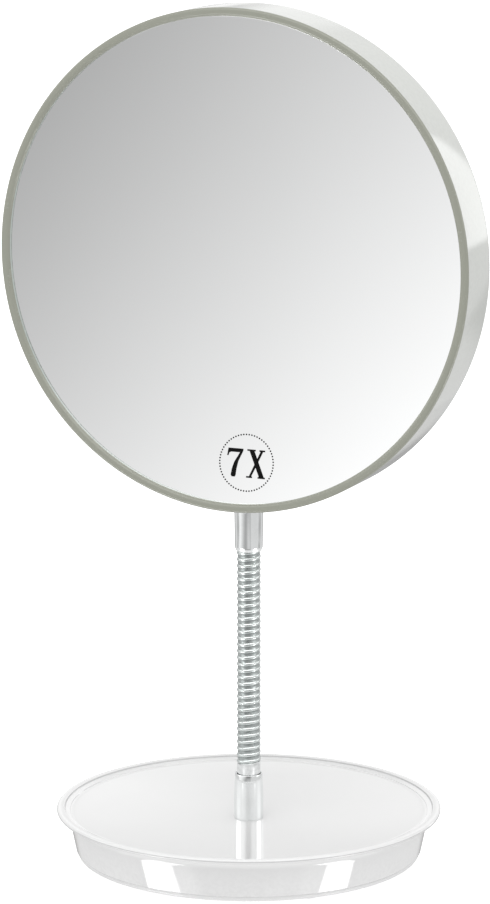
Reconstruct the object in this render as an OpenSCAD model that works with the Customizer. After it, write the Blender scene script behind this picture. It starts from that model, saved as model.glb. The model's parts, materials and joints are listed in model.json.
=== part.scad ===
// Table magnifying mirror: a round concave mirror in a drum housing, carried by a two-wire
// gooseneck between two ferrules, on a weighted tray base. The mirror faces -Y.

/* [Head] */
// Outer diameter of the mirror housing
head_d = 185; // [170:1:200]
// Depth of the head, from the front lip to the back edge
head_depth = 24.7; // [23.5:0.1:27]
// How far the front lip stands in front of the neck's axis
face_offset = 18; // [17:0.1:19]
// How far the back is domed
back_dome = 2; // [1:0.1:4]
// Radius of the rounded back edge
back_round = 3.5; // [3:0.1:5]
// Wall thickness of the housing
head_wall = 2.2; // [2:0.1:2.6]
// Width of the front lip
lip_w = 3.2; // [2.8:0.1:3.6]
// Radius of curvature of the concave mirror
mirror_curve_r = 580; // [500:10:900]
// Thickness of the mirror glass
glass_t = 3; // [2:0.1:3.2]
// How far the glass edge is set back behind the front lip
glass_recess = 2.5; // [2:0.1:3]
// Diameter of the magnification mark
mark_d = 22; // [16:0.5:26]
// Distance of the mark's centre from the edge of the visible glass
mark_inset = 14.8; // [12:0.1:30]

/* [Neck] */
// Outer diameter of the gooseneck
coil_d = 9; // [8.8:0.1:9.1]
// Diameter of its round wire
wire_d = 1.7; // [1.5:0.05:1.7]
// Distance from one turn to the next
coil_pitch = 2.5; // [2.45:0.05:2.8]
// Number of joints that stand for the bending neck
joint_count = 11; // [9:2:11]
// Diameter of the upper ferrule at its lower end
upper_ferrule_d = 10.4; // [10.2:0.1:10.8]
// Length of the upper ferrule
upper_ferrule_h = 16.5; // [14:0.1:22]
// Diameter of the lower ferrule at its foot
lower_ferrule_d = 11.1; // [11:0.1:12]
// Length of the lower ferrule
lower_ferrule_h = 17.5; // [16:0.5:20]

/* [Base] */
// Outer diameter of the tray's rim
base_d = 144; // [142:1:160]
// Height of the rim above the table
base_h = 18.8; // [18.8:0.2:20]
// Height of the dished floor at its centre
dish_z = 13.7; // [13.2:0.1:13.9]
// Diameter of the dished floor
dish_d = 133.8; // [132.8:0.1:134.4]
// Height of the rubber feet
foot_h = 1.2; // [1:0.1:1.4]
// Thickness of the steel ballast plate
ballast_t = 5; // [3:0.1:5]

/* [Hidden] */
$fn = 96;
wide_fn = 1440;
wire_fn = 24;
screw_fn = 48;

// Neck: the turns stand at one pitch, and a joint lies halfway between two turns
wire_r = wire_d / 2;
coil_r = coil_d / 2;
turn_r = coil_r - wire_r;
turns_per_link = 3;
base_turns = 2;
head_turns = 4;
link_h = turns_per_link * coil_pitch;
plug_stand = 3.5;
plug_fit = 0.1;
coil_fit = 0.05;
plug_top = dish_z + lower_ferrule_h + plug_stand;
first_turn_z = plug_top + wire_r + coil_fit;
first_joint_z = first_turn_z + (base_turns - 0.5) * coil_pitch;
last_joint_z = first_joint_z + (joint_count - 1) * link_h;
wedge_face_r = coil_r - 0.4;
wedge_tip_r = coil_r - 1.3;
wedge_gap = 0.05;
wedge_half_h = 0.6;
plug_recess = 0.7;
barrel_r = 180;
barrel_mid_h = 5.7;
mouth_depth = 1;
mouth_fit = 0.25;
bevel_w = 0.6;
bevel_h = 1.4;

// Upper ferrule and the socket that holds it
nose_gap = 0.94 * coil_pitch;
nose_z = last_joint_z + nose_gap;
nose_h = 1.5;
ferrule_top_z = nose_z + upper_ferrule_h;
ferrule_flare = 0.2;
nose_rim_w = 0.2;
spigot_r = 3.5;
spigot_h = 10.6;
socket_r = 6.7;
socket_drop = 1.3;
socket_floor_z = ferrule_top_z + spigot_h + 0.2;
socket_floor_t = 3;
socket_top_z = socket_floor_z + socket_floor_t;
head_tap_r = 1.65;
head_bore_r = 2.2;
head_screw_grip = 9;
head_screw_head_r = 3.5;
head_screw_head_h = 2.4;
head_washer_r = 4.5;
head_washer_t = 0.8;

// Head, where w is the distance forwards from the neck's axis
head_r = head_d / 2;
head_z = ferrule_top_z + socket_drop + head_r;
face_w = face_offset;
back_w = face_w - head_depth;
shell_front_w = face_w - 1;
dome_span = head_r - back_round;
dome_centre_w = back_w + back_round
    + (dome_span * dome_span - back_dome * back_dome) / (2 * back_dome);
dome_r = dome_centre_w - back_w + back_dome;
arc_steps = 6;
cavity_r = head_r - head_wall;
glass_r = cavity_r - 0.3;
window_r = head_r - lip_w;
glass_edge_w = face_w - glass_recess;
mirror_centre_w = glass_edge_w + sqrt(mirror_curve_r * mirror_curve_r - window_r * window_r);
pad_w = 8;
pad_in_r = window_r - 18;
pad_out_r = window_r - 3;
rib_t = 1.5;
snap_w = face_w - 1.9;
snap_h = 0.6;
snap_depth = 0.35;
mark_r = window_r - mark_inset;
mark_t = 0.1;
mark_tilt = asin(mark_r / mirror_curve_r);
mark_turn = 3.8;
mark_lift = mark_d * mark_d / (8 * mirror_curve_r) + 0.01;

// Base, from the rim down to the feet
base_r = base_d / 2;
rim_edge_r = 0.9;
dish_r = dish_d / 2;
dish_plate_t = 2.4;
dish_rise = 3.65;
dish_curve_r = dish_r * dish_r / (2 * dish_rise) + dish_rise / 2;
cove_r = 4.1;
cove_z = base_h - 2 * rim_edge_r - cove_r + 0.1;
wall_top_r = base_r - rim_edge_r - cove_r - 0.1;
wall_foot_r = wall_top_r - 2.4;
wall_t = 2.3;
cover_z = foot_h / 2;
cover_t = 1.9;
cover_round = 1.2;
seam_z = cover_z + cover_t;
cover_step_z = seam_z + 1.5;
cover_step_r = wall_foot_r - wall_t - 0.3;
ballast_z = seam_z + 1.7;
ballast_r = 56;
ballast_bore_r = 8;
rib_radii = [20, 48];
post_ring_r = 59.4;
post_r = 2.7;
post_count = 4;
foot_ring_r = 50;
foot_r = 6;
foot_count = 4;
cover_screw_r = 1.25;
cover_bore_r = 1.6;
cover_head_r = 2.6;
cover_head_h = 1.3;
cover_sink_z = cover_z + 1.5;
boss_r = 7;
boss_z = 6;
base_tap_r = 2.1;
base_bore_r = 2.75;
base_washer_r = 6.5;
base_washer_t = 1;
base_head_r = 4.6;
base_head_h = 2;
ferrule_well_z = dish_z + 8.3;
ferrule_seat_fit = 0.1;

// Names of the repeated nodes, numbered from the base up
function two_digits(i) = i < 10 ? str("0", i) : str(i);
function numbered(stem, i) = str(stem, two_digits(i));

// Height of turn j of wire section i: section 0 is fixed to the base, the last to the head
function joint_z(i) = first_joint_z + (i - 1) * link_h;
function turn_z(i, j) = i == 0 ? first_turn_z + j * coil_pitch
                               : joint_z(i) + (j + 0.5) * coil_pitch;
function turn_count(i) = i == 0 ? base_turns : i == joint_count ? head_turns : turns_per_link;

// ---- Shared shapes ----

// A block of a turned outline, from radius r0 to r1 and from height z0 to z1
module band(r0, r1, z0, z1) {
    translate([r0, z0]) square([r1 - r0, z1 - z0]);
}

// Children drawn as a turned outline, x outwards and y forwards, put on the mirror's axis
module on_mirror_axis() {
    translate([0, 0, head_z]) rotate([90, 0, 0]) rotate_extrude() children();
}

// Children repeated evenly around the base's axis
module around(count, radius, first_angle) {
    for (i = [0 : count - 1])
        rotate([0, 0, first_angle + i * 360 / count]) translate([radius, 0, 0]) children();
}

// Pan head screw pointing up, its head's upper face at z = 0, with a cross recess below
module pan_screw(shank_r, length, head_r, head_h) {
    difference() {
        union() {
            cylinder(r = shank_r, h = length, $fn = screw_fn);
            translate([0, 0, -head_h / 2]) cylinder(r = head_r, h = head_h / 2, $fn = screw_fn);
            translate([0, 0, -head_h])
                cylinder(r1 = head_r * 0.8, r2 = head_r, h = head_h / 2, $fn = screw_fn);
        }
        for (turn = [0, 90]) rotate([0, 0, turn])
            translate([-head_r * 0.55, -head_r * 0.11, -head_h - 0.1])
                cube([head_r * 1.1, head_r * 0.22, head_h * 0.6]);
    }
}

module washer(outer_r, bore_r, thickness) {
    difference() {
        cylinder(r = outer_r, h = thickness, $fn = screw_fn);
        translate([0, 0, -1]) cylinder(r = bore_r, h = thickness + 2, $fn = screw_fn);
    }
}

// ---- Base ----

// Section of the tray between two curves that follow the dished floor
module dish_section() {
    intersection() {
        band(0, dish_r, dish_z - dish_plate_t - 1, base_h);
        translate([0, dish_z + dish_curve_r]) difference() {
            circle(dish_curve_r + dish_plate_t, $fn = wide_fn);
            circle(dish_curve_r, $fn = wide_fn);
        }
    }
}

// Section of the tray's drafted wall and of its flared, round-edged rim
module rim_section() {
    wall_in_r = wall_foot_r - wall_t;
    dish_edge_z = dish_z + dish_rise;
    difference() {
        polygon([
            [wall_in_r, seam_z], [wall_foot_r, seam_z], [wall_top_r, cove_z],
            [base_r - rim_edge_r, cove_z], [base_r - rim_edge_r, base_h],
            [dish_r + 2.2, base_h - 0.1], [dish_r + 2, base_h - 0.7],
            [dish_r + 0.15, base_h - 1.15], [dish_r - 0.1, dish_edge_z - 0.02],
            [dish_r - 2.5, dish_edge_z - 2.3], [wall_top_r - wall_t - 0.3, cove_z - 0.8]]);
        translate([wall_top_r + cove_r, cove_z]) circle(cove_r);
    }
    translate([base_r - rim_edge_r, base_h - rim_edge_r]) circle(rim_edge_r);
}

module base_tray() color("whitesmoke") difference() {
    union() {
        rotate_extrude() {
            dish_section();
            rim_section();
            band(0, boss_r, boss_z, dish_z - 1.2);
            for (r = rib_radii)
                band(r, r + rib_t, ballast_z + ballast_t, dish_z - 1.4 + r * r / (2 * dish_curve_r));
        }
        around(post_count, post_ring_r, 45)
            translate([0, 0, cover_step_z]) cylinder(r = post_r, h = 11.2, $fn = screw_fn);
    }
    cylinder(r = base_bore_r, h = 40, center = true, $fn = screw_fn);
    translate([0, 0, dish_z]) cylinder(r = lower_ferrule_d / 2 + ferrule_seat_fit, h = 1);
    around(post_count, post_ring_r, 45)
        translate([0, 0, cover_step_z - 1]) cylinder(r = cover_screw_r, h = 8, $fn = screw_fn);
}

module ballast_plate() color("dimgray") rotate_extrude()
    band(ballast_bore_r, ballast_r, ballast_z, ballast_z + ballast_t);

module bottom_cover() color("gainsboro") difference() {
    rotate_extrude() {
        edge_r = wall_foot_r - 0.3;
        band(0, edge_r - cover_round, cover_z, seam_z);
        band(edge_r - cover_round, edge_r, cover_z + cover_round, seam_z);
        translate([edge_r - cover_round, cover_z + cover_round]) intersection() {
            circle(cover_round);
            band(-0.2, cover_round, -cover_round, 0.2);
        }
        band(post_ring_r - post_r, cover_step_r, seam_z - 0.5, cover_step_z);
        for (r = rib_radii) band(r, r + rib_t, seam_z - 0.5, ballast_z);
    }
    around(post_count, post_ring_r, 45) {
        cylinder(r = cover_bore_r, h = 10, $fn = screw_fn);
        cylinder(r = cover_head_r + 0.3, h = cover_sink_z, $fn = screw_fn);
    }
    around(foot_count, foot_ring_r, 0) cylinder(r = foot_r + 0.1, h = foot_h, $fn = screw_fn);
}

module cover_screws() color("silver") around(post_count, post_ring_r, 45)
    translate([0, 0, cover_sink_z]) pan_screw(cover_screw_r, 7, cover_head_r, cover_head_h);

module foot_pads() color("darkgray") around(foot_count, foot_ring_r, 0) rotate_extrude($fn = screw_fn)
    polygon([[0, 0], [foot_r - 0.5, 0], [foot_r, 0.4], [foot_r, foot_h], [0, foot_h]]);

module base_screw() color("silver") translate([0, 0, boss_z - base_washer_t])
    pan_screw(base_tap_r, ferrule_well_z - boss_z, base_head_r, base_head_h);

module base_washer() color("silver") translate([0, 0, boss_z - base_washer_t])
    washer(base_washer_r, base_tap_r + 0.1, base_washer_t);

// ---- Neck ----

module lower_ferrule() color("lightgray") rotate_extrude() {
    top_z = dish_z + lower_ferrule_h;
    wide_r = lower_ferrule_d / 2;
    bevel_in_r = wide_r - bevel_w;
    difference() {
        intersection() {
            band(0, wide_r, dish_z, top_z);
            translate([wide_r - barrel_r, dish_z + barrel_mid_h]) circle(barrel_r, $fn = wide_fn);
        }
        band(0, base_tap_r, dish_z - 1, ferrule_well_z + 1);
        band(0, coil_r + coil_fit, ferrule_well_z, top_z + 1);
        band(0, coil_r + mouth_fit, top_z - mouth_depth, top_z + 1);
        polygon([[wide_r, top_z - bevel_h], [wide_r, top_z + 1], [bevel_in_r, top_z + 1],
                 [bevel_in_r, top_z], [bevel_in_r + bevel_w / 3, top_z - bevel_h / 4]]);
    }
}

module neck_plug() color("silver") {
    spigot_r = turn_r - wire_r - coil_fit;
    rotate_extrude() {
        band(0, coil_r - plug_fit, ferrule_well_z + 0.2, plug_top);
        band(0, spigot_r, plug_top - 1, first_joint_z - plug_recess);
    }
}

// Round wire of section i, one closed ring for each turn
module round_wire(i) color("lightgray")
    for (j = [0 : turn_count(i) - 1])
        translate([0, 0, turn_z(i, j)]) rotate_extrude()
            translate([turn_r, 0]) circle(wire_r, $fn = wire_fn);

// Three-sided wire of section i, one closed ring wedged between each two turns of round wire
module wedge_wire(i) color("darkgray")
    for (j = [0 : turn_count(i) - 2])
        translate([0, 0, turn_z(i, j) + coil_pitch / 2]) rotate_extrude() difference() {
            polygon([[wedge_tip_r, 0], [wedge_face_r, -wedge_half_h],
                     [wedge_face_r, wedge_half_h]]);
            for (side = [-0.5, 0.5]) translate([turn_r, side * coil_pitch])
                circle(wire_r + wedge_gap, $fn = wire_fn);
        }

module upper_ferrule() color("lightgray") rotate_extrude() {
    low_r = upper_ferrule_d / 2;
    difference() {
        union() {
            polygon([[0, nose_z], [coil_r + nose_rim_w, nose_z], [low_r - 0.1, nose_z + nose_h - 0.3],
                     [low_r, nose_z + nose_h], [low_r + ferrule_flare, ferrule_top_z],
                     [0, ferrule_top_z]]);
            band(0, spigot_r, ferrule_top_z - 1, ferrule_top_z + spigot_h);
        }
        band(0, coil_r + coil_fit, nose_z - 1, joint_z(joint_count) + head_turns * coil_pitch);
        band(0, head_tap_r, ferrule_top_z, ferrule_top_z + spigot_h + 1);
    }
}

// ---- Head ----

// Points along an arc, its angles counted from straight back towards the rim
function arc(centre, radius, from, to, first) = [
    for (k = [first : arc_steps]) let (a = from + (to - from) * k / arc_steps)
        centre + radius * [sin(a), -cos(a)]];

// Outline of the housing's outer surface, moved in by inset and open to the front: a shallow
// dome that runs smoothly into the rounded back edge
module shell_outline(inset, front_w) {
    join_angle = asin(dome_span / (dome_r - back_round));
    polygon(concat(
        arc([0, dome_centre_w], dome_r - inset, 0, join_angle, 0),
        arc([dome_span, back_w + back_round], back_round - inset, join_angle, 90, 1),
        [[head_r - inset, front_w], [0, front_w]]));
}

module mirror_housing() color("whitesmoke") difference() {
    union() {
        on_mirror_axis() {
            difference() {
                shell_outline(0, shell_front_w);
                shell_outline(head_wall, shell_front_w + 1);
                band(cavity_r - 1, cavity_r + snap_depth + 0.05, snap_w - 0.05, snap_w + snap_h + 0.05);
            }
            for (r = [pad_in_r + 1, pad_out_r - 1 - rib_t]) band(r, r + rib_t, back_w + 0.7, pad_w);
        }
        translate([0, 0, ferrule_top_z])
            cylinder(r = socket_r, h = socket_top_z - ferrule_top_z, $fn = screw_fn);
    }
    translate([0, 0, ferrule_top_z - 1])
        cylinder(r = spigot_r, h = socket_floor_z - ferrule_top_z + 1, $fn = screw_fn);
    cylinder(r = head_bore_r, h = socket_top_z + 1, $fn = screw_fn);
    translate([-socket_r, -pad_w - 1, socket_top_z]) cube([2 * socket_r, pad_w - back_w - 3.2, 12]);
}

module bezel_ring() color("darkseagreen") on_mirror_axis() {
    edge = 0.7;
    inner_r = cavity_r - 0.05;
    polygon([
        [window_r, glass_edge_w + 0.12], [inner_r, glass_edge_w + 0.12], [inner_r, snap_w],
        [inner_r + snap_depth, snap_w + snap_h / 2], [inner_r, snap_w + snap_h],
        [inner_r, shell_front_w], [head_r, shell_front_w], [head_r, face_w - edge],
        [head_r - edge, face_w], [window_r + edge, face_w], [window_r, face_w - edge]]);
    intersection() {
        band(window_r, head_r, face_w - edge, face_w);
        for (r = [window_r + edge, head_r - edge]) translate([r, face_w - edge]) circle(edge);
    }
}

module mirror_glass() color("lightsteelblue", 0.8) on_mirror_axis() intersection() {
    band(0, glass_r, glass_edge_w - 14, glass_edge_w + 1);
    translate([0, mirror_centre_w]) difference() {
        circle(mirror_curve_r + glass_t, $fn = wide_fn);
        circle(mirror_curve_r, $fn = wide_fn);
    }
}

module glass_pad() color("dimgray") on_mirror_axis() difference() {
    band(pad_in_r, pad_out_r, pad_w, glass_edge_w);
    translate([0, mirror_centre_w]) circle(mirror_curve_r + glass_t, $fn = wide_fn);
}

// Thin printed disc on the glass, square to the mirror's surface where it sits
module magnification_mark() color("black")
    translate([0, -mirror_centre_w, head_z]) rotate([0, -mark_turn, 0])
        rotate([90 - mark_tilt, 0, 0]) translate([0, 0, mark_lift - mirror_curve_r])
            cylinder(r = mark_d / 2, h = mark_t);

module head_screw() color("silver") translate([0, 0, socket_top_z + head_washer_t])
    rotate([180, 0, 0])
        pan_screw(head_tap_r, head_screw_grip, head_screw_head_r, head_screw_head_h);

module head_washer() color("silver") translate([0, 0, socket_top_z])
    washer(head_washer_r, head_tap_r + 0.1, head_washer_t);

base_tray();
ballast_plate();
bottom_cover();
cover_screws();
foot_pads();
base_screw();
base_washer();
lower_ferrule();
neck_plug();
for (i = [0 : joint_count]) {
    round_wire(i);
    wedge_wire(i);
}
upper_ferrule();
head_screw();
head_washer();
mirror_housing();
bezel_ring();
mirror_glass();
glass_pad();
magnification_mark();
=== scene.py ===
"""Looks for a table magnifying mirror: a round concave mirror in a drum housing, carried by a
two-wire gooseneck on a weighted tray base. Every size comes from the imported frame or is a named
value below, in metres. The mirror faces -Y."""
import json
import math

import bmesh
import bpy
from mathutils import Matrix, Vector


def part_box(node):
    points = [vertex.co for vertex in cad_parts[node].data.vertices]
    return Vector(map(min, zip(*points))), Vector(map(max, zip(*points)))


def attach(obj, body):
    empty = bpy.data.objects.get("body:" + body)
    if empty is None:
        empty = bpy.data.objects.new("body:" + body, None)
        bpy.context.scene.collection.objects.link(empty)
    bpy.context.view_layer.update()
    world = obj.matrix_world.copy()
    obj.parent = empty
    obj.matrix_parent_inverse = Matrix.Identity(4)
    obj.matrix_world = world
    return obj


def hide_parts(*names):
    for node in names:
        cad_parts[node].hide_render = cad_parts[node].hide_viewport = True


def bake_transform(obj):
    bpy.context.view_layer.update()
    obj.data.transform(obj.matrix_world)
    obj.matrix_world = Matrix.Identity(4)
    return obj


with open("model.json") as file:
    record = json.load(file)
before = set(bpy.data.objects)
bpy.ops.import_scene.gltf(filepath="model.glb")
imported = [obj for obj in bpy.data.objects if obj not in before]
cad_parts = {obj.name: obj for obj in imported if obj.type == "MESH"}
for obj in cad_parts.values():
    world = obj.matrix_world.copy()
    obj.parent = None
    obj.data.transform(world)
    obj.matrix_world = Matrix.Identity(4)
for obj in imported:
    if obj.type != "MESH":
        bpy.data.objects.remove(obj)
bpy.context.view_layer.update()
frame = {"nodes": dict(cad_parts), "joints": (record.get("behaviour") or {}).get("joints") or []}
MM = 0.001

# ---- Places taken from the frame ----

bezel_low, bezel_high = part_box("bezel_ring")
_, shell_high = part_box("mirror_housing")
glass_low, glass_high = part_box("mirror_glass")
mark_low, mark_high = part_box("magnification_mark")
tray_low, tray_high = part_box("base_tray")
cover_low, cover_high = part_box("bottom_cover")
_, feet_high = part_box("foot_pads")
_, screws_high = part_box("cover_screws")
lower_low, lower_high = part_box("lower_ferrule")
upper_low, upper_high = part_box("upper_ferrule")
plug_low, plug_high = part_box("neck_plug")
turns_low, turns_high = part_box("round_wire_01")
_, wedge_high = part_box("wedge_wire_01")
first_low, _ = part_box("round_wire_00")

HEAD_Z = (bezel_low.z + bezel_high.z) / 2
HEAD_R = (bezel_high.x - bezel_low.x) / 2
FACE_W = -bezel_low.y
BACK_W = -shell_high.y
JOINTS = frame["joints"]
JOINT_Z = [joint["pos_m"][2] for joint in JOINTS]
LINK_H = JOINT_Z[1] - JOINT_Z[0]
TURNS_PER_LINK = 3
PITCH = LINK_H / TURNS_PER_LINK
COIL_R = turns_high.x
WIRE_R = (turns_high.z - turns_low.z - (TURNS_PER_LINK - 1) * PITCH) / 2
TURN_R = COIL_R - WIRE_R

# ---- Sizes that the boxes do not give ----

LIP_W = 3.2 * MM
HEAD_WALL = 2.2 * MM
BACK_ROUND = 3.5 * MM
BACK_DOME = 2 * MM
SEAM_W = FACE_W - 1 * MM
MIRROR_CURVE_R = 580 * MM
GLASS_T = 3 * MM
SOCKET_R = 6.7 * MM
DISH_RISE = 3.65 * MM
DISH_R = 66.9 * MM
TRAY_T = 2.4 * MM
FOOT_RING_R = 50 * MM
POST_RING_R = 59.4 * MM
SCREW_SINK = 1.5 * MM
SOCKET_DROP = 1.3 * MM
SOCKET_H = 9 * MM
FERRULE_FIT = 0.05 * MM
FINE_STEPS = 256
FERRULE_STEPS = 96

# ---- Camera: angles from the mirror's axis and above the level, aim across and up ----

CAMERA_AZIMUTH = math.radians(23.65)
CAMERA_PITCH = math.radians(11.53)
CAMERA_DISTANCE = 1.6
CAMERA_AIM = (-0.0014, 0.1538)
CAMERA_LENS = 172.53


# ---- Shapes ----

def arc(centre, radius, start, stop, steps=8):
    """Points along an arc, with its angles in degrees."""
    points = []
    for k in range(steps + 1):
        a = math.radians(start + (stop - start) * k / steps)
        points.append((centre[0] + radius * math.cos(a), centre[1] + radius * math.sin(a)))
    return points


def rounded(corners, steps=6):
    """A closed outline through (x, y, radius) corners, with each corner rounded by its radius."""
    outline = []
    for k, (x, y, radius) in enumerate(corners):
        here = Vector((x, y))
        before = Vector(corners[k - 1][:2]) - here
        after = Vector(corners[(k + 1) % len(corners)][:2]) - here
        if radius <= 0:
            outline.append((x, y))
            continue
        half = before.angle(after) / 2
        reach = radius / math.tan(half)
        start = here + before.normalized() * reach
        stop = here + after.normalized() * reach
        middle = here + (before.normalized() + after.normalized()).normalized() * radius / math.sin(half)
        from_centre, to_centre = start - middle, stop - middle
        sweep = from_centre.angle_signed(to_centre)
        for j in range(steps + 1):
            turn = Matrix.Rotation(-sweep * j / steps, 2)
            outline.append(tuple(middle + turn @ from_centre))
    return outline


def finish_mesh(bm, name, sharp=32.0):
    """Turns a bmesh into a smooth-shaded object whose hard edges stay hard."""
    bmesh.ops.remove_doubles(bm, verts=bm.verts, dist=1e-7)
    bmesh.ops.recalc_face_normals(bm, faces=bm.faces)
    mesh = bpy.data.meshes.new(name)
    bm.to_mesh(mesh)
    bm.free()
    mesh.shade_smooth()
    mesh.set_sharp_from_angle(angle=math.radians(sharp))
    piece = bpy.data.objects.new(name, mesh)
    bpy.context.scene.collection.objects.link(piece)
    return piece


def turn(bm, outline, steps=192, place=None):
    """Adds the closed surface that a (radius, height) outline sweeps round Z."""
    place = place or Matrix.Identity(4)
    rings = []
    for radius, height in outline:
        count = 1 if radius < 1e-8 else steps
        ring = []
        for k in range(count):
            a = 2 * math.pi * k / steps
            ring.append(bm.verts.new(place @ Vector((radius * math.cos(a), radius * math.sin(a), height))))
        rings.append(ring)
    faces = []
    for low, high in zip(rings, rings[1:] + rings[:1]):
        if len(low) == 1 and len(high) == 1:
            continue
        for k in range(steps):
            after = k + 1
            corners = [low[k % len(low)], low[after % len(low)], high[after % len(high)], high[k % len(high)]]
            faces.append(bm.faces.new(list(dict.fromkeys(corners))))
    return faces


def turned(name, outline, steps=192, place=None, sharp=32.0):
    bm = bmesh.new()
    turn(bm, outline, steps, place)
    return finish_mesh(bm, name, sharp)


def on_mirror_axis():
    """Stands a turned shape on the mirror's axis, its height pointing forwards."""
    return Matrix.Translation((0, 0, HEAD_Z)) @ Matrix.Rotation(math.radians(90), 4, "X")


def ring_of_places(count, radius, first_degrees, z):
    places = []
    for k in range(count):
        spin = Matrix.Rotation(math.radians(first_degrees + 360 * k / count), 4, "Z")
        places.append(spin @ Matrix.Translation((radius, 0, z)))
    return places


# ---- Materials ----

class Nodes:
    """A material's node tree with short calls to add to it."""

    def __init__(self, name):
        self.material = bpy.data.materials.new(name)
        self.material.use_nodes = True
        self.tree = self.material.node_tree
        self.shader = self.tree.nodes["Principled BSDF"]
        self.place = self.add("ShaderNodeTexCoord").outputs["Object"]

    def add(self, kind, **settings):
        node = self.tree.nodes.new(kind)
        for key, value in settings.items():
            setattr(node, key, value)
        return node

    def link(self, source, target):
        self.tree.links.new(source, target)

    def noise(self, scale, detail=3.0, stretch=None, roughness=0.5):
        node = self.add("ShaderNodeTexNoise")
        node.inputs["Scale"].default_value = scale
        node.inputs["Detail"].default_value = detail
        node.inputs["Roughness"].default_value = roughness
        place = self.place
        if stretch:
            mapping = self.add("ShaderNodeMapping")
            mapping.inputs["Scale"].default_value = stretch
            self.link(place, mapping.inputs["Vector"])
            place = mapping.outputs["Vector"]
        self.link(place, node.inputs["Vector"])
        return node.outputs["Fac"]

    def remap(self, source, low, high, from_low=0.3, from_high=0.7):
        node = self.add("ShaderNodeMapRange")
        node.inputs["From Min"].default_value = from_low
        node.inputs["From Max"].default_value = from_high
        node.inputs["To Min"].default_value = low
        node.inputs["To Max"].default_value = high
        self.link(source, node.inputs["Value"])
        return node.outputs["Result"]

    def mix(self, factor, first, second):
        node = self.add("ShaderNodeMix", data_type="RGBA")
        self.link(factor, node.inputs["Factor"])
        for socket, value in ((node.inputs["A"], first), (node.inputs["B"], second)):
            if isinstance(value, tuple):
                socket.default_value = (*value, 1)
            else:
                self.link(value, socket)
        return node.outputs["Result"]

    def bump(self, height, depth):
        node = self.add("ShaderNodeBump")
        node.inputs["Strength"].default_value = 1.0
        node.inputs["Distance"].default_value = depth
        self.link(height, node.inputs["Height"])
        self.link(node.outputs["Normal"], self.shader.inputs["Normal"])


def shaded(colour, share):
    return tuple(c * share for c in colour)


def edge_wear(nodes, low=0.505, high=0.56):
    """1 along convex edges, broken up by noise, and 0 elsewhere."""
    point = nodes.add("ShaderNodeNewGeometry").outputs["Pointiness"]
    edge = nodes.remap(point, 0.0, 1.0, low, high)
    broken = nodes.remap(nodes.noise(700, 4), 0.0, 1.0, 0.4, 0.62)
    product = nodes.add("ShaderNodeMath", operation="MULTIPLY")
    nodes.link(edge, product.inputs[0])
    nodes.link(broken, product.inputs[1])
    return product.outputs[0]


def moulded(name, colour, rough, gloss_spread=0.03, peel=5e-7, coat=0.0):
    """Injection-moulded plastic: faint flow clouds, orange peel, handling marks, dulled edges."""
    n = Nodes(name)
    clouds = n.mix(n.remap(n.noise(28, 4), 0, 1), colour, shaded(colour, 0.985))
    n.link(n.mix(edge_wear(n), clouds, shaded(colour, 0.93)), n.shader.inputs["Base Color"])
    n.link(n.remap(n.noise(55, 5, roughness=0.65), rough - gloss_spread, rough + gloss_spread),
           n.shader.inputs["Roughness"])
    n.shader.inputs["Coat Weight"].default_value = coat
    n.shader.inputs["Coat Roughness"].default_value = 0.03
    n.bump(n.noise(420, 2), peel)
    return n.material


def metal(name, colour, rough, spread, stretch, grain, depth):
    """Metal with a drawn or turned grain, faint clouding and scuffed edges."""
    n = Nodes(name)
    clouds = n.mix(n.remap(n.noise(160, 4), 0, 1), colour, shaded(colour, 0.93))
    n.link(n.mix(edge_wear(n), clouds, shaded(colour, 0.82)), n.shader.inputs["Base Color"])
    n.shader.inputs["Metallic"].default_value = 1.0
    n.link(n.remap(n.noise(240, 5, roughness=0.7), rough - spread, rough + spread),
           n.shader.inputs["Roughness"])
    n.bump(n.noise(grain, 3, stretch), depth)
    return n.material


def rubber(name, colour, rough, grain, gloss=0.5):
    n = Nodes(name)
    n.shader.inputs["Specular IOR Level"].default_value = gloss
    n.link(n.mix(n.remap(n.noise(180, 4), 0, 1), colour, shaded(colour, 0.85)), n.shader.inputs["Base Color"])
    n.link(n.remap(n.noise(500, 3), rough - 0.08, rough + 0.08), n.shader.inputs["Roughness"])
    n.bump(n.noise(grain, 4), 2e-5)
    return n.material


def silvered():
    """The silvered face: a bright metal with the faintest haze where it was wiped."""
    n = Nodes("silvered_glass")
    n.shader.inputs["Metallic"].default_value = 1.0
    colour = (0.93, 0.935, 0.935)
    n.link(n.mix(n.remap(n.noise(18, 4), 0, 1), colour, shaded(colour, 0.992)), n.shader.inputs["Base Color"])
    n.link(n.remap(n.noise(30, 5, roughness=0.7), 0.008, 0.03), n.shader.inputs["Roughness"])
    n.bump(n.noise(9, 1), 2e-7)
    return n.material


HOUSING = moulded("housing_white_plastic", (0.64, 0.655, 0.625), 0.07, 0.02, coat=0.4)
# The lip's olive grey is partly its own colour and partly painted shade for its front face, which faces away
# from the light
BEZEL = moulded("bezel_grey_and_painted_shade", (0.31, 0.318, 0.268), 0.26, 0.04)
# Painted light: a brighter colour for the lip's inner wall, which lies in shade
BEZEL_INNER_PAINTED_LIGHT = moulded("bezel_inner_painted_light", (0.50, 0.55, 0.52), 0.12, 0.03)
TRAY = moulded("tray_white_plastic", (0.83, 0.83, 0.83), 0.05, 0.02, coat=0.5)
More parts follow.
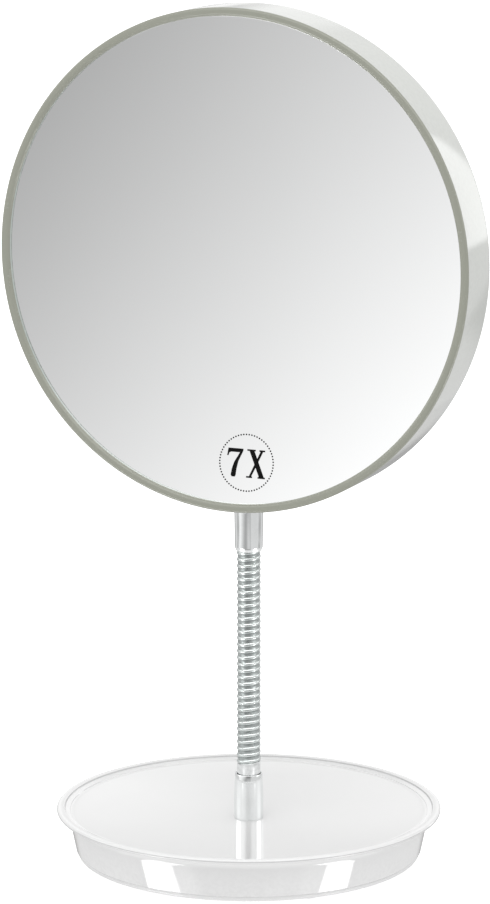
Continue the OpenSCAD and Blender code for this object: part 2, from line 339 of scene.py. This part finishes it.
# Painted shade: a darker grey for the tray's step and for a thin line round its rim
TRAY_PAINTED_SHADE = moulded("tray_painted_shade", (0.62, 0.62, 0.62), 0.3, 0.05)
COVER = moulded("cover_white_plastic", (0.80, 0.80, 0.80), 0.32, 0.06, peel=4e-6)
CHROME = metal("ferrule_chrome", (0.86, 0.875, 0.875), 0.06, 0.03, (1, 1, 30), 260, 4e-7)
ROUND_WIRE = metal("round_wire_plate", (0.68, 0.72, 0.71), 0.24, 0.05, (1, 1, 4), 900, 1.5e-6)
WEDGE_WIRE = metal("wedge_wire_plate", (0.48, 0.515, 0.51), 0.3, 0.06, (1, 1, 4), 900, 1.5e-6)
STEEL = metal("ballast_steel", (0.5, 0.5, 0.51), 0.35, 0.1, (12, 1, 1), 300, 6e-6)
ZINC = metal("screw_zinc", (0.68, 0.68, 0.7), 0.25, 0.08, (1, 1, 1), 900, 4e-6)
RUBBER = rubber("foot_rubber", (0.42, 0.42, 0.42), 0.6, 1500)
FOAM = rubber("pad_foam", (0.06, 0.06, 0.065), 0.85, 2600)
PRINT = rubber("mark_ink", (0.004, 0.004, 0.004), 0.7, 1200, 0.08)
SILVERED = silvered()
GLASS_EDGE = moulded("glass_ground_edge", (0.42, 0.52, 0.48), 0.35, 0.08)
BACK_PAINT = moulded("glass_back_paint", (0.22, 0.23, 0.24), 0.5, 0.1)


def dress(piece, material, body, slot, *nodes):
    """Gives a piece its material and its body, and hides the CAD nodes that it stands for; slot is not used.
    """
    piece.data.materials.append(material)
    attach(piece, body)
    if nodes:
        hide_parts(*nodes)
    return piece


# ---- Head ----

def make_housing():
    """Drum shell with a rounded back edge, a shallow domed back and a moulded neck socket."""
    span = HEAD_R - BACK_ROUND
    corner_w = BACK_W + BACK_DOME + BACK_ROUND
    centre_w = corner_w + (span ** 2 - BACK_DOME ** 2) / (2 * BACK_DOME)
    dome_r = centre_w - BACK_W
    join = math.degrees(math.asin(span / (dome_r - BACK_ROUND)))
    outline = []
    for inset in (0.0, HEAD_WALL):
        skin = arc((0, centre_w), dome_r - inset, -90, -90 + join, 20)
        skin += arc((span, corner_w), BACK_ROUND - inset, -90 + join, 0, 10)[1:]
        skin[0] = (0.0, skin[0][1])
        if inset:
            outline += [(HEAD_R - inset, SEAM_W)] + skin[::-1]
        else:
            outline += skin + [(HEAD_R, SEAM_W - 0.12 * MM), (HEAD_R - 0.12 * MM, SEAM_W)]
    shell = turned("housing_shell", outline, FINE_STEPS, on_mirror_axis())
    socket_low = HEAD_Z - HEAD_R - SOCKET_DROP
    socket_high = socket_low + SOCKET_H
    collar = rounded([(0, socket_low, 0), (SOCKET_R, socket_low, 0.5 * MM), (SOCKET_R, socket_high, 0),
                      (0, socket_high, 0)])
    socket = turned("neck_socket", collar, 64)
    for part in (shell, socket):
        dress(part, HOUSING, "head", "housing_plastic", "mirror_housing")


def make_bezel():
    """Rounded front lip; its inner wall is smoother and carries painted light: a brighter colour for a wall
    that lies in shade.
    """
    inner_round, outer_round = 1.3 * MM, 0.92 * MM
    inner_wall_band = 1
    window_r = HEAD_R - LIP_W
    inner_r = HEAD_R - HEAD_WALL - 0.05 * MM
    seat_w = -bezel_high.y
    wall_w = FACE_W - inner_round
    outline = [(inner_r, seat_w), (window_r, seat_w), (window_r, wall_w)]
    outline += arc((window_r + inner_round, wall_w), inner_round, 180, 90, 10)
    outline += arc((HEAD_R - outer_round, FACE_W - outer_round), outer_round, 90, 0, 8)
    outline += [(HEAD_R, SEAM_W), (inner_r, SEAM_W)]
    bm = bmesh.new()
    faces = turn(bm, outline, FINE_STEPS, on_mirror_axis())
    # The inner wall band gets the painted light
    for index, item in enumerate(faces):
        item.material_index = 1 if index // FINE_STEPS == inner_wall_band else 0
    ring = finish_mesh(bm, "bezel_lip", 40)
    dress(ring, BEZEL, "head", "bezel_plastic", "bezel_ring")
    ring.data.materials.append(BEZEL_INNER_PAINTED_LIGHT)


def mirror_surface_w(radius):
    """How far forward the mirror's face is at a distance from its axis."""
    glass_r = (glass_high.x - glass_low.x) / 2
    centre_w = -glass_low.y + math.sqrt(MIRROR_CURVE_R ** 2 - glass_r ** 2)
    return centre_w - math.sqrt(MIRROR_CURVE_R ** 2 - radius ** 2)


def make_glass():
    """Concave glass with a silvered face, a ground edge and a painted back."""
    glass_r = (glass_high.x - glass_low.x) / 2
    rings = 48
    face = [(glass_r * k / rings, mirror_surface_w(glass_r * k / rings)) for k in range(rings + 1)]
    back = [(r, w - GLASS_T) for r, w in face]
    bm = bmesh.new()
    faces = turn(bm, face + back[::-1], FINE_STEPS, on_mirror_axis())
    for index, item in enumerate(faces):
        band = index // FINE_STEPS
        item.material_index = 0 if band < rings else 1 if band == rings else 2
    glass = finish_mesh(bm, "concave_mirror", 30)
    dress(glass, SILVERED, "head", "mirror_face", "mirror_glass")
    glass.data.materials.append(GLASS_EDGE)
    glass.data.materials.append(BACK_PAINT)


def flat_shape(bm, points, centre, height):
    """Adds a thin printed shape, given by its outline in the mark's plane, onto the mirror's face."""
    loops = []
    for lift in (0.004 * MM, height):
        loop = []
        for x, z in points:
            px, pz = centre[0] + x, centre[1] + z
            w = mirror_surface_w(math.hypot(px, pz - HEAD_Z)) + lift
            loop.append(bm.verts.new((px, -w, pz)))
        loops.append(loop)
    low, high = loops
    bm.faces.new(low)
    bm.faces.new(high[::-1])
    count = len(points)
    for k in range(count):
        bm.faces.new([low[k], high[k], high[(k + 1) % count], low[(k + 1) % count]])


def make_mark():
    """A ring of dots round a seven and a capital X, drawn with plain serifs, in millimetres."""
    centre = ((mark_low.x + mark_high.x) / 2, (mark_low.z + mark_high.z) / 2)
    ring_r = (mark_high.x - mark_low.x) / 2 - 0.3 * MM
    ring_share = 0.965
    height = 0.03 * MM
    widen = 1.05
    bm = bmesh.new()
    dots = 62
    for k in range(dots):
        a = 2 * math.pi * k / dots
        spot = arc((ring_r * math.cos(a), ring_r * ring_share * math.sin(a)), 0.31 * MM, 0, 330, 11)
        flat_shape(bm, spot, centre, height)
    top, foot = 5.0, -5.4
    seven = [(-7.5, top - 2.8), (-7.1, top), (-1.4, top), (-1.4, top - 0.7), (-3.1, 0.4),
             (-3.7, -2.6), (-3.9, foot + 0.6), (-4.2, foot), (-5.4, foot), (-5.8, foot + 0.6),
             (-5.5, -2.6), (-4.7, 0.0), (-2.7, top - 1.4), (-6.0, top - 1.4), (-6.7, top - 1.8),
             (-7.0, top - 2.8)]
    thick = [(0.7, top), (2.6, top), (7.1, foot), (5.2, foot)]
    thin = [(5.4, top), (6.4, top), (1.8, foot), (0.9, foot)]
    serif = 0.6
    serifs = [[(x0, z), (x1, z), (x1, z - serif), (x0, z - serif)] for x0, x1, z in
              ((0.1, 3.3, top), (4.7, 6.9, top), (0.1, 2.4, foot + serif), (4.5, 7.3, foot + serif))]
    for k, shape in enumerate([seven, thick, thin] + serifs):
        flat_shape(bm, [(x * widen * MM, z * MM) for x, z in shape], centre, height * (1 + 0.04 * k))
    mark = finish_mesh(bm, "magnification_print")
    dress(mark, PRINT, "head", "mark_print", "magnification_mark")


# ---- Neck ----

def join_rings(bm, rings):
    """Joins each closed ring of points to the next one."""
    count = len(rings[0])
    for low, high in zip(rings, rings[1:]):
        for k in range(count):
            bm.faces.new([low[k], low[(k + 1) % count], high[(k + 1) % count], high[k]])


def helix(bm, section, start_z, stop_z, phase, steps_per_turn=48):
    """Sweeps a (radius, height) section along the coil, right-handed, and closes both ends."""
    turns = (stop_z - start_z) / PITCH
    steps = max(2, round(turns * steps_per_turn))
    rings = []
    for k in range(steps + 1):
        z = start_z + (stop_z - start_z) * k / steps
        a = phase + 2 * math.pi * (z - JOINT_Z[0]) / PITCH
        rings.append([bm.verts.new((r * math.cos(a), r * math.sin(a), z + h)) for r, h in section])
    join_rings(bm, rings)
    bm.faces.new(rings[0][::-1])
    bm.faces.new(rings[-1])


def round_section():
    return arc((TURN_R, 0), WIRE_R, 0, 360 - 360 / 18, 17)


def wedge_section():
    """Section of the three-sided wire: a crowned face, and flanks hollowed by the round wire."""
    face_r = wedge_high.x
    gap = 0.03 * MM
    points = [(face_r + 0.07 * MM, 0)]
    for r in (face_r, face_r - 0.25 * MM, face_r - 0.55 * MM):
        half = PITCH / 2 - math.sqrt((WIRE_R + gap) ** 2 - (r - TURN_R) ** 2)
        points.append((r, half))
    points.append((face_r - 0.9 * MM, 0))
    points += [(r, -half) for r, half in points[3:0:-1]]
    return points


def make_neck():
    """The two wires, cut at the middle of each link so that each middle piece spans one joint."""
    wires = (("round", "round_wire_", round_section(), 0.0, ROUND_WIRE, "round_wire_steel"),
             ("wedge", "wedge_wire_", wedge_section(), math.pi, WEDGE_WIRE, "wedge_wire_steel"))
    first_z = JOINT_Z[0] - LINK_H / 2
    last_z = JOINT_Z[-1] + LINK_H / 2
    for kind, stem, section, phase, material, slot in wires:
        bm = bmesh.new()
        helix(bm, section, collar_start(), first_z, phase)
        dress(finish_mesh(bm, f"{kind}_wire_foot", 50), material, "base", slot, f"{stem}00")
        for k, z in enumerate(JOINT_Z):
            bm = bmesh.new()
            helix(bm, section, z - LINK_H / 2, z + LINK_H / 2, phase)
            piece = finish_mesh(bm, f"{kind}_wire_turns_{k + 1:02d}", 50)
            piece.data.materials.append(material)
            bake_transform(piece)
            if k:
                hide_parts(f"{stem}{k:02d}")
        bm = bmesh.new()
        helix(bm, section, last_z, last_z + 2 * PITCH, phase)
        dress(finish_mesh(bm, f"{kind}_wire_head", 50), material, "head", slot, f"{stem}11")


def collar_start():
    """Height at which the round wire starts, on the plug's helical shoulder."""
    return first_low.z + WIRE_R - 0.4 * PITCH


def make_plug():
    """Smooth collar whose shoulder climbs with the first turn of wire."""
    bm = bmesh.new()
    steps = 96
    edge = 0.15 * MM
    low_z = lower_high.z - 4 * MM
    inner_r = TURN_R - WIRE_R
    outer_r = plug_high.x
    start_z = collar_start()
    start_a = 2 * math.pi * (start_z - JOINT_Z[0]) / PITCH
    rings = []
    for k in range(steps + 1):
        share = k / steps
        a = start_a + 2 * math.pi * share
        top = start_z - WIRE_R * 0.92 + PITCH * share
        column = [(inner_r, low_z), (outer_r, low_z), (outer_r, top - edge), (outer_r - edge, top),
                  (inner_r, top)]
        rings.append([bm.verts.new((r * math.cos(a), r * math.sin(a), z)) for r, z in column])
    join_rings(bm, rings)
    first, last = rings[0], rings[-1]
    bm.faces.new([last[2], last[3], last[4], first[4], first[3], first[2]])
    core_r = inner_r - 0.05 * MM
    core_z = JOINT_Z[0] - 0.7 * MM
    core = rounded([(0, low_z, 0), (core_r, low_z, 0), (core_r, core_z, 0.3 * MM), (0, core_z, 0)])
    turn(bm, core, 48)
    dress(finish_mesh(bm, "neck_collar"), CHROME, "base", "ferrule_chrome", "neck_plug")


def make_lower_ferrule():
    """Barrelled side, a small edge at the foot, and a mouth with a thin rounded lip."""
    low_z, top_z = lower_low.z, lower_high.z
    bore_r = COIL_R + FERRULE_FIT
    mouth_r = COIL_R + 0.25 * MM
    mouth_end_z, bore_end_z = top_z - 1 * MM, top_z - 1.1 * MM
    well_z = plug_low.z - 0.2 * MM
    screw_r = 2.1 * MM
    foot_edge, foot_edge_h = 0.12 * MM, 0.15 * MM
    lip_h, lip_set, lip_round = 1.2 * MM, 0.16 * MM, 0.18 * MM
    barrel_r, mid_z = 180 * MM, low_z + 5.7 * MM
    start = math.degrees(math.asin((low_z - mid_z) / barrel_r))
    stop = math.degrees(math.asin((top_z - lip_h - mid_z) / barrel_r))
    side = arc((lower_high.x - barrel_r, mid_z), barrel_r, start, stop, 16)
    side[0] = (side[0][0] - foot_edge, low_z)
    side.insert(1, (side[0][0] + foot_edge, low_z + foot_edge_h))
    lip_r = side[-1][0] - lip_set
    lip = arc((lip_r - lip_round, top_z - lip_round), lip_round, 10, 90, 5)
    outline = [(screw_r, low_z)] + side + lip
    outline += [(mouth_r + 0.04 * MM, top_z), (mouth_r, top_z - 0.06 * MM), (mouth_r, mouth_end_z),
                (bore_r, bore_end_z), (bore_r, well_z), (screw_r, well_z)]
    lower = turned("lower_ferrule_shell", outline, FERRULE_STEPS, None, 28)
    dress(lower, CHROME, "base", "ferrule_chrome", "lower_ferrule")


def make_upper_ferrule():
    """Flared side that ends in a short nose round the coil."""
    nose_z = upper_low.z
    top_z = HEAD_Z - HEAD_R - SOCKET_DROP
    bore_r = COIL_R + FERRULE_FIT
    wide_r = upper_high.x
    low_r = wide_r - 0.2 * MM
    tap_r = 2 * MM
    tap_end_z = top_z - 9 * MM
    outline = rounded([
        (bore_r, nose_z, 0), (COIL_R + 0.22 * MM, nose_z, 0.08 * MM),
        (low_r - 0.1 * MM, nose_z + 1.0 * MM, 0.35 * MM), (low_r, nose_z + 1.5 * MM, 0.1 * MM),
        (wide_r, top_z, 0.1 * MM), (tap_r, top_z, 0), (tap_r, tap_end_z, 0),
        (bore_r, tap_end_z, 0)])
    upper = turned("upper_ferrule_shell", outline, FERRULE_STEPS, None, 28)
    dress(upper, CHROME, "head", "ferrule_chrome", "upper_ferrule")


# ---- Base ----

def make_tray():
    """Tray with a dished floor, a stepped and flared rim, and a drafted wall.

    The step's flank and a thin band round the rim's outer edge are painted shade: a darker grey that stands
    in for the shade and dark reflections there."""
    rim_r, rim_z, seam_z = tray_high.x, tray_high.z, tray_low.z
    floor_z = lower_low.z
    curve_r = DISH_R ** 2 / (2 * DISH_RISE) + DISH_RISE / 2
    corner_steps, rim_steps = 4, 14
    edge_r = 0.9 * MM
    cove_r = 4.1 * MM
    cove_z = rim_z - 2 * edge_r - cove_r + 0.1 * MM
    wall_r = rim_r - edge_r - cove_r - 0.1 * MM
    foot_r = wall_r - 2.4 * MM
    spread = math.degrees(math.asin((DISH_R - 0.25 * MM) / curve_r))
    top = arc((0, floor_z + curve_r), curve_r, -90, -90 + spread, 40)
    top[0] = (0.0, top[0][1])
    step = rounded([
        (top[-1][0], top[-1][1], 0), (DISH_R, rim_z - 1.5 * MM, 0.1 * MM),
        (DISH_R + 0.12 * MM, rim_z - 1.15 * MM, 0.12 * MM), (DISH_R + 1.9 * MM, rim_z - 0.75 * MM, 0.15 * MM),
        (DISH_R + 2.15 * MM, rim_z - 0.12 * MM, 0.2 * MM), (rim_r - edge_r, rim_z, 0)], corner_steps)[1:-1]
    rim = arc((rim_r - edge_r, rim_z - edge_r), edge_r, 90, -90, rim_steps)
    cove = arc((wall_r + cove_r, cove_z), cove_r, 95, 180, 14)
    wall = [(foot_r + 0.25 * MM, seam_z + 0.3 * MM), (foot_r - 0.1 * MM, seam_z)]
    inner_r = foot_r - 2.3 * MM
    under = arc((0, floor_z + curve_r), curve_r + TRAY_T, -90 + spread * 0.95, -90, 30)
    under[-1] = (0.0, under[-1][1])
    inside = [(inner_r, seam_z), (inner_r + 2.2 * MM, cove_z - 0.8 * MM)]
    outline = top + step + rim + cove + wall + inside + under
    rim_start = len(top) + len(step)
    # Faces that get the painted shade: the step's flank and a thin band at the rim's outer edge
    flank = list(range(rim_start - corner_steps - 2, rim_start - 2))
    rim_middle = rim_start + rim_steps // 2
    painted_rim_line = [rim_middle - 1, rim_middle]
    bm = bmesh.new()
    for index, item in enumerate(turn(bm, outline, FINE_STEPS)):
        item.material_index = 1 if index // FINE_STEPS in flank + painted_rim_line else 0
    tray = finish_mesh(bm, "tray_shell", 30)
    dress(tray, TRAY, "base", "base_plastic", "base_tray")
    tray.data.materials.append(TRAY_PAINTED_SHADE)


def carve(piece, tool, own_overlaps=False):
    """Takes the tool's volume out of the piece and removes the tool."""
    boolean = piece.modifiers.new("cut", "BOOLEAN")
    boolean.operation = "DIFFERENCE"
    boolean.solver = "EXACT"
    boolean.use_self = own_overlaps
    boolean.object = tool
    bpy.context.view_layer.update()
    evaluated = piece.evaluated_get(bpy.context.evaluated_depsgraph_get())
    mesh = bpy.data.meshes.new_from_object(evaluated)
    piece.modifiers.clear()
    piece.data = mesh
    bpy.data.objects.remove(tool)


def cut(piece, outline, places, steps=48):
    """Cuts the turned outline out of the piece at each place."""
    bm = bmesh.new()
    for place in places:
        turn(bm, outline, steps, place)
    carve(piece, finish_mesh(bm, "cutter"))
    piece.data.shade_smooth()
    piece.data.set_sharp_from_angle(angle=math.radians(32))


def make_cover():
    """Bottom cover with a rounded edge, four foot recesses and four sunk screw holes."""
    low_z, edge_r = cover_low.z, cover_high.x
    seam_z = tray_low.z
    gap = 0.05 * MM
    spigot_r, spigot_in_r = edge_r - 2.6 * MM, 56.7 * MM
    spigot_z = seam_z + 1.5 * MM
    outline = rounded([
        (0, low_z, 0), (edge_r, low_z, 1.2 * MM), (edge_r, seam_z - gap, 0.15 * MM),
        (spigot_r, seam_z - gap, 0), (spigot_r, spigot_z, 0),
        (spigot_in_r, spigot_z, 0), (spigot_in_r, seam_z, 0), (0, seam_z, 0)])
    cover = turned("bottom_plate", outline, 192)
    below_z, above_z = low_z - 1 * MM, 8 * MM
    recess_r, sink_r, hole_r = 6.1 * MM, 2.9 * MM, 1.6 * MM
    recess = [(0, below_z), (recess_r, below_z), (recess_r, feet_high.z), (0, feet_high.z)]
    cut(cover, recess, ring_of_places(4, FOOT_RING_R, 0, 0))
    head_z = low_z + SCREW_SINK
    sink = [(0, below_z), (sink_r, below_z), (sink_r, head_z), (hole_r, head_z), (hole_r, above_z),
            (0, above_z)]
    cut(cover, sink, ring_of_places(4, POST_RING_R, 45, 0))
    dress(cover, COVER, "base", "cover_plastic", "bottom_cover")


def make_feet():
    foot_r = 6 * MM
    outline = rounded([(0, 0, 0), (foot_r, 0, 0.45 * MM), (foot_r, feet_high.z, 0), (0, feet_high.z, 0)])
    bm = bmesh.new()
    for place in ring_of_places(4, FOOT_RING_R, 0, 0):
        turn(bm, outline, 64, place)
    dress(finish_mesh(bm, "rubber_feet"), RUBBER, "base", "foot_rubber", "foot_pads")


def make_cover_screws():
    """Pan heads with a cross recess, and plain shanks that stand for the threads."""
    seat_z = cover_low.z + SCREW_SINK
    head_r, head_h = 2.6 * MM, 1.3 * MM
    shank_r = 1.25 * MM
    outline = rounded([
        (0, seat_z - head_h, 0), (head_r, seat_z - head_h, 0.6 * MM), (head_r, seat_z, 0),
        (shank_r, seat_z, 0), (shank_r, screws_high.z, 0.3 * MM), (0, screws_high.z, 0)])
    bm = bmesh.new()
    places = ring_of_places(4, POST_RING_R, 45, 0)
    for place in places:
        turn(bm, outline, 48, place)
    screws = finish_mesh(bm, "cover_screw_set")
    recess_r = 1.4 * MM
    slot_w = 0.3 * MM
    deep_z = seat_z - head_h + 0.8 * MM
    bm = bmesh.new()
    for place in places:
        for quarter in (0, 90):
            spin = place @ Matrix.Rotation(math.radians(quarter), 4, "Z")
            corners = [(x, y, z) for z in (0, deep_z) for x, y in
                       ((-recess_r, -slot_w), (recess_r, -slot_w), (recess_r, slot_w), (-recess_r, slot_w))]
            v = [bm.verts.new(spin @ Vector(c)) for c in corners]
            for loop in ((0, 1, 2, 3), (4, 5, 6, 7), (0, 1, 5, 4), (1, 2, 6, 5), (2, 3, 7, 6), (3, 0, 4, 7)):
                bm.faces.new([v[i] for i in loop])
    carve(screws, finish_mesh(bm, "cross_cutter"), own_overlaps=True)
    dress(screws, ZINC, "base", "screw_steel", "cover_screws")


def dress_inner_nodes():
    """Pieces inside the base and the head keep their CAD shape and get their material."""
    for node, material in (("ballast_plate", STEEL), ("base_screw", ZINC), ("base_washer", ZINC),
                           ("head_screw", ZINC), ("head_washer", ZINC), ("glass_pad", FOAM)):
        mesh = frame["nodes"][node].data
        mesh.materials.clear()
        mesh.materials.append(material)


# ---- Studio ----

# What glossy surfaces reflect: azimuth from the camera, elevation, half width, half height and softness
# of each box in degrees, then its brightness. A later box covers an earlier one.
SOFT_BOXES = (
    # behind the object
    (180, 13, 10, 15, 3.0, 1.0),
    (180, 15, 0.8, 12, 2.2, 0.55),
    (180, -13, 38, 8, 2.5, 0.45),
    (180, 44, 45, 12, 3.0, 0.45),
    # in front of it
    (0, -14, 13, 7, 9.0, 0.72),
    (0, 12, 20, 8, 12.0, 0.2),
    # at its sides
    (-88, 12, 20, 8, 8.0, 2.4),
    (88, 12, 20, 8, 8.0, 2.4),
    (-104, -14.4, 5, 0.7, 0.5, 0.45),
    (95, -14.4, 9, 0.7, 0.5, 0.45),
    (-97, -11, 14, 2.2, 2.0, 0.56),
    (100, -11, 14, 2.2, 2.0, 0.52),
    (-88, -18.5, 8, 2.8, 0.8, 1.13),
    (88, -18.5, 8, 2.8, 0.8, 1.13),
    # above and below
    (0, 52, 50, 20, 5.0, 2.5),
    (0, -88, 50, 26, 6.0, 1.3),
    # the crisp highlight on the drum's side
    (137, 6, 3.6, 10, 0.8, 1.9),
    # the bright patches on the base's wall, with soft inner sides
    (-46, -38, 7, 12, 4.0, 1.35),
    (46, -38, 7, 12, 4.0, 1.35),
    (-65, -37, 10.4, 12, 0.7, 6.5),
    (64.5, -37, 9.2, 12, 0.7, 6.5))

# The shade in front of the mirror changes evenly along this direction, between two limits
MIRROR_SLOPE = (-0.5381, 0.0, 0.4926)
MIRROR_MIDDLE = 0.7394
MIRROR_LIMITS = (0.7, 1.03)
MIRROR_GAMMA = 2.2
MIRROR_FIELD = (-12, -12, 50, 38, 8.0)

# Brightness of the rest at the horizon, and what is added straight up and down
STUDIO_LEVEL, STUDIO_RISE = 0.76, 0.3
DIFFUSE_LEVEL, DIFFUSE_RISE = 0.92, 0.38


def make_world():
    """White to the camera, even for diffuse light, and a studio with soft boxes for gloss."""
    world = bpy.data.worlds.new("studio")
    bpy.context.scene.world = world
    world.use_nodes = True
    tree = world.node_tree
    tree.nodes.clear()
    link = tree.links.new
    direction = tree.nodes.new("ShaderNodeTexCoord").outputs["Generated"]

    def maths(operation, first, second=None):
        node = tree.nodes.new("ShaderNodeMath")
        node.operation = operation
        for socket, value in zip(node.inputs, (first, second)):
            if isinstance(value, (int, float)):
                socket.default_value = value
            elif value is not None:
                link(value, socket)
        return node.outputs[0]

    def along(axis):
        node = tree.nodes.new("ShaderNodeVectorMath")
        node.operation = "DOT_PRODUCT"
        node.inputs[1].default_value = axis
        link(direction, node.inputs[0])
        return node.outputs["Value"]

    def smooth(value, low, high):
        node = tree.nodes.new("ShaderNodeMapRange")
        node.interpolation_type = "SMOOTHSTEP"
        node.inputs["From Min"].default_value = low
        node.inputs["From Max"].default_value = high
        link(value, node.inputs["Value"])
        return node.outputs["Result"]

    def box(azimuth, elevation, half_width, half_height, soft):
        """1 inside a soft-edged rectangle of the sky, its sizes in degrees."""
        a, e = math.radians(azimuth), math.radians(elevation)
        ahead = Vector((math.sin(a) * math.cos(e), -math.cos(a) * math.cos(e), math.sin(e)))
        side = Vector((math.cos(a), math.sin(a), 0))
        up = ahead.cross(side)
        depth = along(ahead)
        mask = smooth(depth, 0.0, 0.05)
        for axis, half in ((side, half_width), (up, half_height)):
            offset = maths("ABSOLUTE", maths("DIVIDE", along(axis), depth))
            reach = math.tan(math.radians(half))
            fade = math.tan(math.radians(soft))
            mask = maths("MULTIPLY", mask, maths("SUBTRACT", 1.0, smooth(offset, reach - fade, reach + fade)))
        return mask

    # What the mirror's face shows: dark at its upper left, light at its lower right
    level = maths("ADD", along(MIRROR_SLOPE), MIRROR_MIDDLE)
    level = maths("MINIMUM", maths("MAXIMUM", level, MIRROR_LIMITS[0]), MIRROR_LIMITS[1])
    sweep = maths("POWER", level, MIRROR_GAMMA)
    facing = box(*MIRROR_FIELD)
    height = along((0, 0, 1))
    steepness = maths("MULTIPLY", height, height)
    around = maths("ADD", maths("MULTIPLY", steepness, STUDIO_RISE), STUDIO_LEVEL)
    glow = maths("ADD", maths("MULTIPLY", sweep, facing),
                 maths("MULTIPLY", around, maths("SUBTRACT", 1.0, facing)))
    camera_azimuth = math.degrees(CAMERA_AZIMUTH)
    for azimuth, elevation, half_width, half_height, soft, value in SOFT_BOXES:
        mask = box(camera_azimuth + azimuth, elevation, half_width, half_height, soft)
        keep = maths("MULTIPLY", glow, maths("SUBTRACT", 1.0, mask))
        glow = maths("ADD", keep, maths("MULTIPLY", mask, value))

    path = tree.nodes.new("ShaderNodeLightPath")
    plain = tree.nodes.new("ShaderNodeBackground")
    plain.inputs["Color"].default_value = (1, 1, 1, 1)
    tint = maths("ADD", maths("MULTIPLY", steepness, DIFFUSE_RISE), DIFFUSE_LEVEL)
    seen = path.outputs["Is Camera Ray"]
    link(maths("ADD", maths("MULTIPLY", tint, maths("SUBTRACT", 1.0, seen)), seen), plain.inputs["Strength"])
    studio = tree.nodes.new("ShaderNodeBackground")
    studio.inputs["Color"].default_value = (1, 1, 1, 1)
    link(glow, studio.inputs["Strength"])
    chosen = tree.nodes.new("ShaderNodeMixShader")
    link(path.outputs["Is Glossy Ray"], chosen.inputs[0])
    link(plain.outputs[0], chosen.inputs[1])
    link(studio.outputs[0], chosen.inputs[2])
    link(chosen.outputs[0], tree.nodes.new("ShaderNodeOutputWorld").inputs["Surface"])


def make_light(name, azimuth, elevation, distance, size, power):
    lamp = bpy.data.lights.new(name, "AREA")
    lamp.shape = "DISK"
    lamp.size = size
    lamp.energy = power
    light = bpy.data.objects.new(name, lamp)
    a, e = math.radians(azimuth), math.radians(elevation)
    away = Vector((math.sin(a) * math.cos(e), -math.cos(a) * math.cos(e), math.sin(e)))
    light.location = Vector((0, 0, HEAD_Z * 0.6)) + away * distance
    light.rotation_euler = away.to_track_quat("Z", "Y").to_euler()
    light.visible_glossy = False
    bpy.context.scene.collection.objects.link(light)


def make_floor():
    n = Nodes("floor_white")
    n.link(n.mix(n.remap(n.noise(3, 3), 0, 1), (0.93, 0.93, 0.93), (0.92, 0.92, 0.92)),
           n.shader.inputs["Base Color"])
    n.shader.inputs["Roughness"].default_value = 0.9
    n.shader.inputs["Specular IOR Level"].default_value = 0.0
    n.shader.inputs["Emission Color"].default_value = (1, 1, 1, 1)
    n.shader.inputs["Emission Strength"].default_value = 0.45
    bm = bmesh.new()
    rings = [(0.0, -0.02 * MM), (4.0, -0.02 * MM), (4.0, -10 * MM), (0.0, -10 * MM)]
    turn(bm, rings, 128)
    floor = finish_mesh(bm, "floor")
    floor.data.materials.append(n.material)
    floor.visible_glossy = False
    floor.visible_diffuse = False


def make_camera():
    a, e = CAMERA_AZIMUTH, CAMERA_PITCH
    across, height = CAMERA_AIM
    aim = Vector((across * math.cos(a), across * math.sin(a), height))
    away = Vector((math.sin(a) * math.cos(e), -math.cos(a) * math.cos(e), math.sin(e)))
    data = bpy.data.cameras.new("camera")
    data.lens = CAMERA_LENS
    data.sensor_width = 36
    camera = bpy.data.objects.new("camera", data)
    camera.location = aim + away * CAMERA_DISTANCE
    camera.rotation_euler = away.to_track_quat("Z", "Y").to_euler()
    bpy.context.scene.collection.objects.link(camera)
    bpy.context.scene.camera = camera


make_housing()
make_bezel()
make_glass()
make_mark()
make_neck()
make_plug()
make_lower_ferrule()
make_upper_ferrule()
make_tray()
make_cover()
make_feet()
make_cover_screws()
dress_inner_nodes()

make_world()
make_light("key", 10, 60, 1.6, 1.0, 2.5)
make_floor()
make_camera()
bpy.context.scene.view_settings.view_transform = "Standard"
